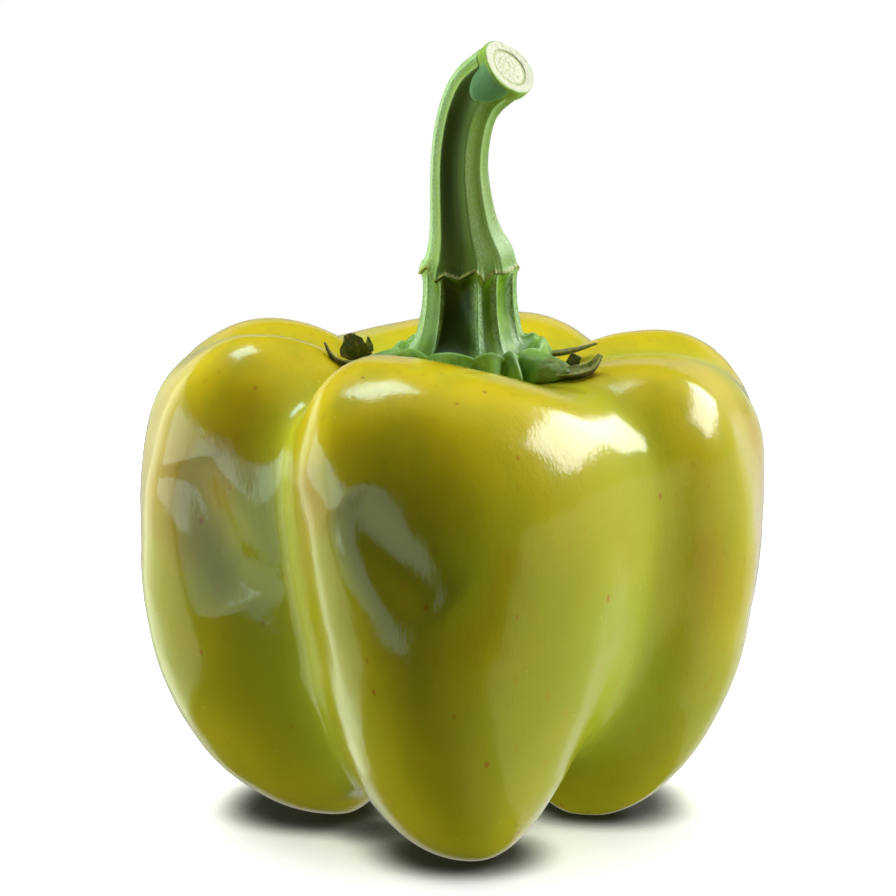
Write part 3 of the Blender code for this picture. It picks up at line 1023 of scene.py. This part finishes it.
def skin_piece(look):
    """The fruit's skin, and where its axis is in the frame."""
    grid = softened(ball_grid(FRUIT_COLUMNS, FRUIT_RINGS, fruit_point), 12, 4)
    grid = dented(grid)
    grid[:, :, 2] = np.maximum(grid[:, :, 2], 0.0)
    low, high = (np.array(corner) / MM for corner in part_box("fruit"))
    middle = (low + high - grid.min(axis=(0, 1)) - grid.max(axis=(0, 1))) / 2
    axis = Vector((middle[0], middle[1], 0.0))
    valley = marks_of(FRUIT_COLUMNS, FRUIT_RINGS, lambda a, d: 1 - valley_share(a))
    add_piece("skin", grid, look, "fruit_skin", axis, "fruit", marks={"valley": valley})
    return axis


def tone_at(tones, azimuth):
    """How much bloom and how much shade there is at an azimuth."""
    here, after, share = between(tones, lambda tone: tone.azimuth, azimuth)
    return blend(tuple(here[1:]), tuple(after[1:]), share)


def calyx_piece(look, axis):
    """The calyx and the neck, with marks for the painted shade in their flutes, the painted highlight with
    waxy coating on ribs and rims, and the corky end.
    """
    grid = ball_grid(CALYX_COLUMNS, CALYX_RINGS, calyx_point)

    def section_at(azimuth, descent):
        return through(calyx_section(azimuth), min(descent / CALYX_UNDER_FROM, 1.0))

    def on_neck(radius):
        return max(0.0, min(1.0, (VALLEY[0] + 0.5 - radius) / 0.8))

    # Painted shade in the neck's flutes, below the scar's lip, by azimuth.
    def dark(azimuth, descent):
        radius, height = section_at(azimuth, descent)
        under_lip = max(0.0, min(1.0, (scar_height(azimuth) - height) / 0.4))
        return tone_at(NECK_TONES, azimuth)[1] * on_neck(radius) * under_lip

    # Pale waxy coating with painted highlight on the neck's ribs and the lobes' rims, and a faint pale
    # haze on the lobes.
    def bloom(azimuth, descent):
        radius = section_at(azimuth, descent)[0]
        rim = math.exp(-(((radius - PAD_TOP[0] + 0.1) / 0.25) ** 2)) * lobe_at(azimuth)[1]
        haze = 0.18 if radius > PAD_TOP[0] else 0.0
        return max(rim * 0.6, haze, tone_at(NECK_TONES, azimuth)[0] * on_neck(radius))

    def crust(azimuth, descent):
        on_arm = abs(azimuth - ARM_AZIMUTH) < ARM_HALF
        return crusted(section_at(azimuth, descent)[0]) if on_arm else 0.0

    marks = {
        name: marks_of(CALYX_COLUMNS, CALYX_RINGS, value)
        for name, value in (("dark", dark), ("bloom", bloom), ("scar", crust))
    }
    add_piece("calyx_fine", grid, look, "calyx_green", axis, "calyx", marks=marks)


def stem_pieces(look, cut, axis):
    """The ribbed stem, and its cut end."""
    grid = ball_grid(STEM_COLUMNS, STEM_RINGS, stem_point)
    scar = marks_of(STEM_COLUMNS, STEM_RINGS, lambda a, d: scar_height(a))
    scar = np.exp(-((np.maximum(grid[:, :, 2] - scar, 0.0) / 0.5) ** 2))
    marks = {
        # Pale waxy coating with painted highlight on the stem's ribs, by azimuth.
        "bloom": marks_of(STEM_COLUMNS, STEM_RINGS, lambda a, d: tone_at(STEM_TONES, a)[0]),
        # Painted shade in the stem's channels, by azimuth.
        "dark": marks_of(STEM_COLUMNS, STEM_RINGS, lambda a, d: tone_at(STEM_TONES, a)[1]),
        "scar": scar,
    }
    add_piece("stem_fine", grid, look, "stem_green", axis, "stem", marks=marks)

    grid = ball_grid(STUB_COLUMNS, STUB_RINGS, stub_point)
    offset = grid - np.array(STUB_FACE)
    depth = -offset @ np.array(STUB_AXIS)
    away = np.sqrt(np.maximum((offset**2).sum(axis=2) - depth**2, 0.0)) / STUB_RADIUS

    def knob(azimuth, descent):
        apart = spans_apart(azimuth, SHIELD_AZIMUTH, SHIELD_HALF)
        return max(0.0, min(1.0, (1.05 - apart) / 0.15))

    marks = {
        "away": away,
        "cut": (depth < 0.5).astype(float),
        "knob": marks_of(STUB_COLUMNS, STUB_RINGS, knob),
    }
    add_piece("stem_end", grid, cut, "stem_green", axis, "stem", marks=marks)


def sepal_pieces(look, axis):
    """The dry tips, paler inside and along the edge."""
    for name in TIPS:
        inner = 0.8 if name == "sepal_right_keel" else 0.25

        def pale(azimuth, descent):
            angle = math.radians(azimuth)
            edge = max(0.0, (abs(math.sin(angle)) - 0.9) / 0.1)
            return max(edge * 0.7, inner * max(0.0, min(1.0, math.cos(angle) * 3)))

        marks = {"pale": marks_of(TIP_COLUMNS, TIP_RINGS, pale)}
        points = ball_grid(TIP_COLUMNS, TIP_RINGS, lambda a, d: tip_point(name, a, d))
        add_piece(name + "_fine", points, look, "dry_sepal", axis, name, marks=marks)


def build():
    """All the pieces, and where the fruit's axis is in the frame."""
    axis = skin_piece(skin_look())
    calyx_piece(calyx_look(), axis)
    stem_pieces(stem_look(), cut_look(), axis)
    sepal_pieces(dry_look(), axis)
    return axis


# Studio ---------------------------------------------------------------------------------------------

LIT_HEIGHT = 45.0
LAYERS = 4
FLOOR_SIZE = 0.42
FLOOR_GLOW = 0.45
# How far the floor's painted shadow reaches from the pepper, in millimetres, and its colour.
PAINTED_SHADOW_REACH = 9.0
FLOOR_PAINTED_SHADOW = colour(0.006, 0.006, 0.007)
FLOOR_WHITE = colour(0.95, 0.97, 1.0)
ROOM_DIM = colour(0.02, 0.02, 0.02)
ROOM_WHITE = colour(1.0, 1.0, 1.0)

CAMERA_SIDE = -0.5
CAMERA_BACK = 600.0
CAMERA_HEIGHT = 169.6
TARGET_HEIGHT = 54.5
LENS = 166.6
SENSOR = 36.0

WHITE = (1.0, 1.0, 1.0)
COOL = (0.60, 0.92, 1.0)
MILKY = (0.80, 0.95, 0.70)

# The lights. Each faces the pepper's middle from a distance in metres. sees says which rays meet it,
# and softness how far its edge is spread.
Light = collections.namedtuple(
    "Light", "name azimuth elevation distance width height radiance sees softness tint"
)
LIGHTS = (
    Light("sky", 180.0, 72.0, 1.3, 1.6, 1.2, 3.7, "diffuse", 0.0, WHITE),
    Light("right_key", 94.0, 10.0, 1.0, 0.8, 0.6, 7.0, "diffuse", 0.0, WHITE),
    Light("left_fill", -98.0, 0.0, 0.9, 0.6, 0.5, 8.4, "diffuse", 0.0, WHITE),
    Light("left_top", -130.0, 45.0, 1.0, 0.6, 0.6, 4.0, "diffuse", 0.0, WHITE),
    Light("floor_glow", 60.0, -54.0, 0.6, 0.7, 0.4, 2.5, "diffuse", 0.0, WHITE),
    Light("back_glow", 180.0, -20.0, 0.6, 0.7, 0.4, 1.6, "diffuse", 0.0, WHITE),
    Light("left_window", -112.0, -8.0, 0.6, 0.46, 0.38, 4.7, "glossy", 0.75, MILKY),
    Light("left_far", -143.0, -10.0, 0.6, 0.25, 0.4, 1.6, "glossy", 0.6, MILKY),
    Light("left_sheer", -80.0, 9.0, 0.6, 0.46, 0.14, 8.5, "glossy", 0.6, COOL),
    Light("left_veil", -44.0, 0.0, 0.6, 0.36, 0.26, 5.0, "glossy", 0.8, COOL),
    Light("right_floor", 108.0, -22.0, 0.6, 1.4, 0.5, 1.7, "glossy", 0.3, WHITE),
    Light("right_softbox", 109.0, 34.0, 0.7, 0.56, 0.23, 34.0, "glossy", 0.1, WHITE),
    Light("top_softbox", -146.0, 74.0, 0.9, 0.34, 0.22, 30.0, "glossy", 0.15, COOL),
    Light("back_wall", 180.0, -8.0, 1.2, 3.4, 1.3, 1.3, "glossy", 0.2, WHITE),
)


def add_light(light):
    """A rectangular light, in layers where its edge is soft."""
    layers = LAYERS if light.softness else 1
    elevation = math.radians(light.elevation)
    level = math.cos(elevation) * light.distance
    place = outward(light.azimuth) * level + Vector((0.0, 0.0, math.sin(elevation) * light.distance))
    for layer in range(layers):
        spread = 1 + light.softness * (2 * layer / (layers - 1) - 1) if light.softness else 1
        data = bpy.data.lights.new(light.name, "AREA")
        data.shape = "RECTANGLE"
        data.color = light.tint
        data.size, data.size_y = light.width * spread, light.height * spread
        data.energy = light.radiance / layers * math.pi * data.size * data.size_y
        made = bpy.data.objects.new(light.name, data)
        made.location = place + Vector((0.0, 0.0, LIT_HEIGHT * MM))
        made.rotation_mode = "QUATERNION"
        made.rotation_quaternion = (-place).to_track_quat("-Z", "Y")
        made.visible_camera = False
        made.visible_diffuse = light.sees != "glossy"
        made.visible_glossy = light.sees != "diffuse"
        bpy.context.scene.collection.objects.link(made)


def make_floor():
    """A white floor, with a painted shadow close to the pepper's feet."""
    bpy.ops.mesh.primitive_circle_add(vertices=96, radius=FLOOR_SIZE, fill_type="NGON", location=(0, 0, 0))
    floor = bpy.context.object
    floor.name = "floor"
    look, shader = new_material("floor_white", 0.9)
    # Painted shadow: the floor's colour and glow go dark where the pepper is close.
    near = node(look, "AmbientOcclusion", {"Distance": PAINTED_SHADOW_REACH * MM}, samples=16).outputs["AO"]
    tone = mixed(look, stepped(look, near, 0.3, 0.85), FLOOR_PAINTED_SHADOW, FLOOR_WHITE)
    join(look, tone, shader.inputs["Base Color"])
    join(look, tone, shader.inputs["Emission Color"])
    shader.inputs["Emission Strength"].default_value = FLOOR_GLOW
    floor.data.materials.append(look)
    floor.visible_diffuse = floor.visible_glossy = floor.visible_shadow = False


def make_room():
    """A world that the camera sees as white, and that hardly lights the pepper."""
    world = bpy.data.worlds.new("studio")
    bpy.context.scene.world = world
    world.use_nodes = True
    nodes, links = world.node_tree.nodes, world.node_tree.links
    background = nodes["Background"]
    path = nodes.new("ShaderNodeLightPath")
    mix = nodes.new("ShaderNodeMix")
    mix.data_type = "RGBA"
    mix.inputs["A"].default_value = ROOM_DIM
    mix.inputs["B"].default_value = ROOM_WHITE
    links.new(path.outputs["Is Camera Ray"], mix.inputs["Factor"])
    links.new(mix.outputs["Result"], background.inputs["Color"])


def make_stage():
    """The floor, the room and the lights."""
    make_floor()
    make_room()
    for light in LIGHTS:
        add_light(light)
    bpy.context.scene.view_settings.view_transform = "Standard"


def make_camera(axis):
    """The camera, level with the fruit's axis and looking slightly down."""
    data = bpy.data.cameras.new("camera")
    data.lens = LENS
    data.sensor_width = SENSOR
    data.clip_start, data.clip_end = 0.05, 20.0
    camera = bpy.data.objects.new("camera", data)
    side = axis.x + CAMERA_SIDE
    camera.location = Vector((side, axis.y - CAMERA_BACK, CAMERA_HEIGHT)) * MM
    target = Vector((side, axis.y, TARGET_HEIGHT)) * MM
    camera.rotation_mode = "QUATERNION"
    camera.rotation_quaternion = (target - camera.location).to_track_quat("-Z", "Y")
    bpy.context.scene.collection.objects.link(camera)
    bpy.context.scene.camera = camera


axis = build()
make_stage()
make_camera(axis)
